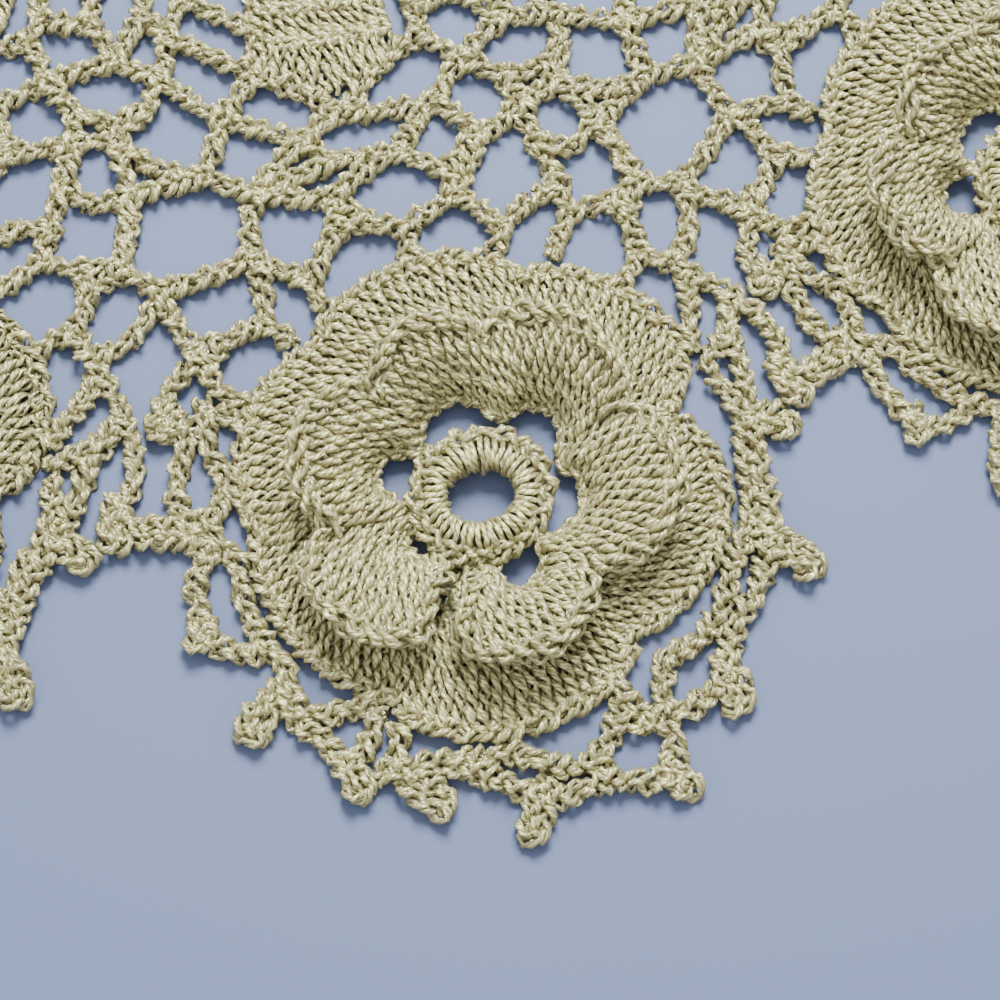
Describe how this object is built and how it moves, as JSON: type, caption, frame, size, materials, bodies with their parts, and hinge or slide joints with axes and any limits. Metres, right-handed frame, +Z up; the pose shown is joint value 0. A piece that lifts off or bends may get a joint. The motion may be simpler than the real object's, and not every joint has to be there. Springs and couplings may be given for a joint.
{
  "type": "lace doily",
  "caption": "Round crocheted lace doily: an open net with raised padded roses round its scalloped picot rim, to lie under a vase, lamp or dish.",
  "frame": {"origin": "middle of the doily, on its underside", "axes": "+Z up through the doily, -Y towards the first rose of the ring"},
  "size_m": [0.2334, 0.233, 0.005],
  "materials": {
    "net_thread": "soft sheen of mercerised cotton thread",
    "rose_thread": "soft sheen of mercerised cotton thread"
  },
  "bodies": {
    "root": {"net": "net_thread", "rose_centre": "rose_thread", "rose_01": "rose_thread", "rose_02": "rose_thread", "rose_03": "rose_thread", "rose_04": "rose_thread", "rose_05": "rose_thread", "rose_06": "rose_thread", "rose_07": "rose_thread", "rose_08": "rose_thread", "rose_09": "rose_thread", "rose_10": "rose_thread", "rose_11": "rose_thread", "rose_12": "rose_thread"}
  },
  "joints": []
}
